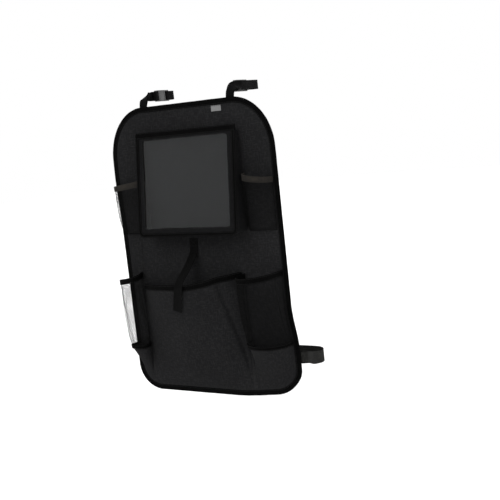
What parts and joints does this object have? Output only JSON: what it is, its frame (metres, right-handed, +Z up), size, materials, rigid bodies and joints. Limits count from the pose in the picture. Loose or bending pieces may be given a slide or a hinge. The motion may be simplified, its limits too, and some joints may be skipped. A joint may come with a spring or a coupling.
{
  "type": "car seat back organizer",
  "caption": "Fabric panel that hangs behind a car seat, with a framed window pocket, net side pockets, a wide lower pocket, post loops and a lower belt.",
  "frame": {"origin": "centre of the panel's rear face, which lies on the seat back", "axes": "+Z up along the panel, +Y out of the rear face into the seat back, pockets face -Y, +X to the viewer's right"},
  "size_m": [0.454, 0.2184, 0.6976],
  "materials": {
    "canvas": "woven, matt",
    "binding_tape": "ribbed tape, matt",
    "upper_band": "ribbed tape, matt",
    "netting": "knitted net, matt",
    "clear_film": "clear, glossy",
    "webbing": "ribbed webbing, satin",
    "belt_webbing": "ribbed webbing, matt",
    "closure_tape": "hook and loop, matt",
    "buckle_plastic": "fine satin",
    "label_cloth": "plain woven satin"
  },
  "bodies": {
    "root": {"back_panel": "canvas", "window_pocket_front": "canvas", "window_pocket_gusset": "canvas", "wide_pocket": "canvas", "edge_binding": "binding_tape", "window_frame_tape": "binding_tape", "window_mouth_tape": "binding_tape", "wide_pocket_mouth_tape": "binding_tape", "lower_left_band": "binding_tape", "lower_right_band": "binding_tape", "lower_left_foot_tape": "binding_tape", "lower_right_foot_tape": "binding_tape", "upper_left_band": "upper_band", "upper_right_band": "upper_band", "upper_left_net": "netting", "upper_right_net": "netting", "lower_left_net": "netting", "lower_right_net": "netting", "window_film": "clear_film", "closure_strap": "webbing", "top_left_strap": "webbing", "top_left_tab": "webbing", "top_right_strap": "webbing", "top_right_tab": "webbing", "belt_left": "belt_webbing", "belt_right": "belt_webbing", "closure_hook_patch": "closure_tape", "closure_loop_patch": "closure_tape", "top_left_socket": "buckle_plastic", "top_left_plug": "buckle_plastic", "top_right_socket": "buckle_plastic", "top_right_plug": "buckle_plastic", "belt_socket": "buckle_plastic", "belt_plug": "buckle_plastic", "label": "label_cloth"}
  },
  "joints": []
}
